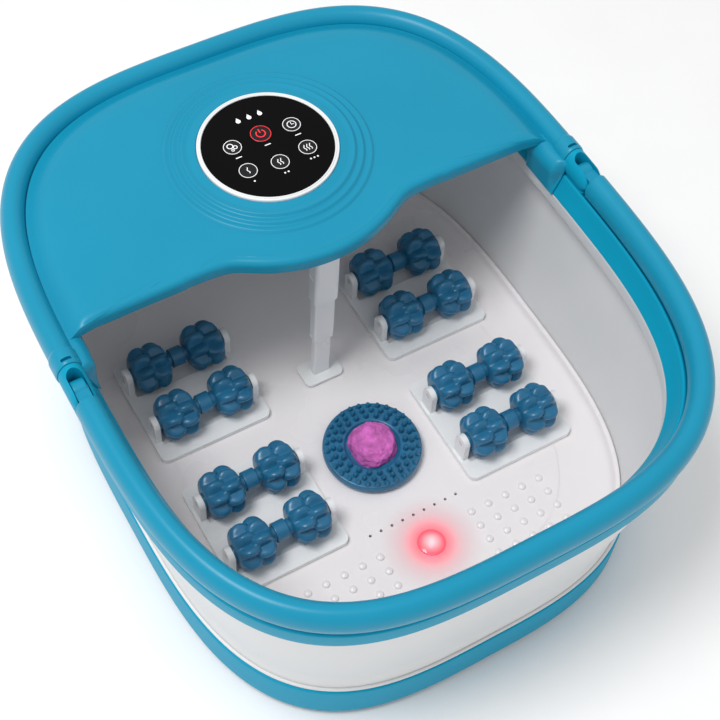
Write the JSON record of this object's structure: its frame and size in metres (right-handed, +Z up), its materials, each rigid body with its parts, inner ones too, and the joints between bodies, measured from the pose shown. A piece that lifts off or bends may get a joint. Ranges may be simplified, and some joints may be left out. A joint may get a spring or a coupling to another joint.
{
  "type": "pedicure foot bath",
  "caption": "Collapsible heated pedicure foot bath with a hooded control cover, lift-out massage rollers, a brush disc with a pumice stone and a folding carry handle.",
  "frame": {"origin": "on the floor under the middle of the tub", "axes": "+Z up, -Y towards the front where the feet go in, +Y towards the control cover, +X to the user's left seen from the cover"},
  "size_m": [0.359, 0.4218, 0.1955],
  "materials": {
    "cyan": "satin",
    "moulded_white": "satin",
    "soft_white": "matte",
    "light_grey": "satin",
    "bezel_white": "gloss",
    "gloss_black": "gloss",
    "key_black": "gloss",
    "roller_blue": "satin",
    "magenta_stone": "matte",
    "red_lens": "gloss",
    "rubber_black": "matte",
    "black_plastic": "matte",
    "steel": "satin",
    "aluminium": "satin",
    "clear_hose": "satin",
    "circuit_board": "satin"
  },
  "bodies": {
    "base": {"base_shell": "cyan", "bottom_cover": "cyan", "rubber_feet": "rubber_black", "base_screws": "steel", "floor_pan": "moulded_white", "wall_clamp": "light_grey", "heater_plate": "aluminium", "temperature_probe": "steel", "air_pump": "black_plastic", "pump_mounts": "rubber_black", "air_hose": "clear_hose", "air_channel": "moulded_white", "power_board": "circuit_board", "light_board": "circuit_board", "light_lens": "red_lens", "cord_gland": "rubber_black", "post_lower": "moulded_white", "post_gasket": "rubber_black", "soft_wall": "soft_white"},
    "rim": {"rim_frame": "cyan", "wall_ring": "light_grey", "cover": "cyan", "cover_liner": "moulded_white", "cover_screws": "steel", "panel_bezel": "bezel_white", "panel_lens": "gloss_black", "control_board": "circuit_board", "post_upper": "moulded_white", "pivot_pins": "steel"},
    "post_slider": {"post_middle": "moulded_white"},
    "handle_body": {"handle": "cyan"},
    "disc": {"brush_disc": "roller_blue"},
    "stone": {"pumice_stone": "magenta_stone"},
    "button_bubble": {"key_bubble": "key_black"},
    "button_power": {"key_power": "key_black"},
    "button_timer": {"key_timer": "key_black"},
    "button_heat_low": {"key_heat_low": "key_black"},
    "button_heat_mid": {"key_heat_mid": "key_black"},
    "button_heat_high": {"key_heat_high": "key_black"},
    "tray_rear_left": {"cassette_rear_left": "moulded_white", "axles_rear_left": "steel"},
    "wheels_rear_left_a": {"roller_rear_left_a": "roller_blue"},
    "wheels_rear_left_b": {"roller_rear_left_b": "roller_blue"},
    "tray_rear_right": {"cassette_rear_right": "moulded_white", "axles_rear_right": "steel"},
    "wheels_rear_right_a": {"roller_rear_right_a": "roller_blue"},
    "wheels_rear_right_b": {"roller_rear_right_b": "roller_blue"},
    "tray_front_left": {"cassette_front_left": "moulded_white", "axles_front_left": "steel"},
    "wheels_front_left_a": {"roller_front_left_a": "roller_blue"},
    "wheels_front_left_b": {"roller_front_left_b": "roller_blue"},
    "tray_front_right": {"cassette_front_right": "moulded_white", "axles_front_right": "steel"},
    "wheels_front_right_a": {"roller_front_right_a": "roller_blue"},
    "wheels_front_right_b": {"roller_front_right_b": "roller_blue"}
  },
  "joints": [
    {"name": "collapse", "type": "slide", "parent": "base", "child": "rim", "axis": [0, 0, 1], "range_m": [-0.08, 0], "deforming": ["soft_wall"]},
    {"name": "post_slide", "type": "slide", "parent": "base", "child": "post_slider", "axis": [0, 0, 1], "range_m": [-0.04, 0]},
    {"name": "handle_lift", "type": "hinge", "parent": "rim", "child": "handle_body", "pos_m": [0, 0.0023, 0.179], "axis": [-1, 0, 0], "range_deg": [0, 95]},
    {"name": "disc_lift", "type": "slide", "parent": "base", "child": "disc", "axis": [0, 0, 1], "range_m": [0, 0.03]},
    {"name": "stone_lift", "type": "slide", "parent": "disc", "child": "stone", "axis": [0, 0, 1], "range_m": [0, 0.02]},
    {"name": "press_bubble", "type": "slide", "parent": "rim", "child": "button_bubble", "axis": [0, 0, -1], "range_m": [0, 0.0007], "stiffness_N_per_m": 600, "springref_m": -0.0006},
    {"name": "press_power", "type": "slide", "parent": "rim", "child": "button_power", "axis": [0, 0, -1], "range_m": [0, 0.0007], "stiffness_N_per_m": 600, "springref_m": -0.0006},
    {"name": "press_timer", "type": "slide", "parent": "rim", "child": "button_timer", "axis": [0, 0, -1], "range_m": [0, 0.0007], "stiffness_N_per_m": 600, "springref_m": -0.0006},
    {"name": "press_heat_low", "type": "slide", "parent": "rim", "child": "button_heat_low", "axis": [0, 0, -1], "range_m": [0, 0.0007], "stiffness_N_per_m": 600, "springref_m": -0.0006},
    {"name": "press_heat_mid", "type": "slide", "parent": "rim", "child": "button_heat_mid", "axis": [0, 0, -1], "range_m": [0, 0.0007], "stiffness_N_per_m": 600, "springref_m": -0.0006},
    {"name": "press_heat_high", "type": "slide", "parent": "rim", "child": "button_heat_high", "axis": [0, 0, -1], "range_m": [0, 0.0007], "stiffness_N_per_m": 600, "springref_m": -0.0006},
    {"name": "tray_lift_rear_left", "type": "slide", "parent": "base", "child": "tray_rear_left", "axis": [0, 0, 1], "range_m": [0, 0.04]},
    {"name": "roll_rear_left_a", "type": "hinge", "parent": "tray_rear_left", "child": "wheels_rear_left_a", "pos_m": [-0.085, 0.0735, 0.0575], "axis": [1, 0, 0], "continuous": true},
    {"name": "roll_rear_left_b", "type": "hinge", "parent": "tray_rear_left", "child": "wheels_rear_left_b", "pos_m": [-0.085, 0.0325, 0.0575], "axis": [1, 0, 0], "continuous": true},
    {"name": "tray_lift_rear_right", "type": "slide", "parent": "base", "child": "tray_rear_right", "axis": [0, 0, 1], "range_m": [0, 0.04]},
    {"name": "roll_rear_right_a", "type": "hinge", "parent": "tray_rear_right", "child": "wheels_rear_right_a", "pos_m": [0.085, 0.0735, 0.0575], "axis": [1, 0, 0], "continuous": true},
    {"name": "roll_rear_right_b", "type": "hinge", "parent": "tray_rear_right", "child": "wheels_rear_right_b", "pos_m": [0.085, 0.0325, 0.0575], "axis": [1, 0, 0], "continuous": true},
    {"name": "tray_lift_front_left", "type": "slide", "parent": "base", "child": "tray_front_left", "axis": [0, 0, 1], "range_m": [0, 0.04]},
    {"name": "roll_front_left_a", "type": "hinge", "parent": "tray_front_left", "child": "wheels_front_left_a", "pos_m": [-0.085, -0.0325, 0.0575], "axis": [1, 0, 0], "continuous": true},
    {"name": "roll_front_left_b", "type": "hinge", "parent": "tray_front_left", "child": "wheels_front_left_b", "pos_m": [-0.085, -0.0735, 0.0575], "axis": [1, 0, 0], "continuous": true},
    {"name": "tray_lift_front_right", "type": "slide", "parent": "base", "child": "tray_front_right", "axis": [0, 0, 1], "range_m": [0, 0.04]},
    {"name": "roll_front_right_a", "type": "hinge", "parent": "tray_front_right", "child": "wheels_front_right_a", "pos_m": [0.085, -0.0325, 0.0575], "axis": [1, 0, 0], "continuous": true},
    {"name": "roll_front_right_b", "type": "hinge", "parent": "tray_front_right", "child": "wheels_front_right_b", "pos_m": [0.085, -0.0735, 0.0575], "axis": [1, 0, 0], "continuous": true}
  ],
  "couplings": [
    {"joint": "post_slide", "follows": "collapse", "ratio": 0.5}
  ]
}
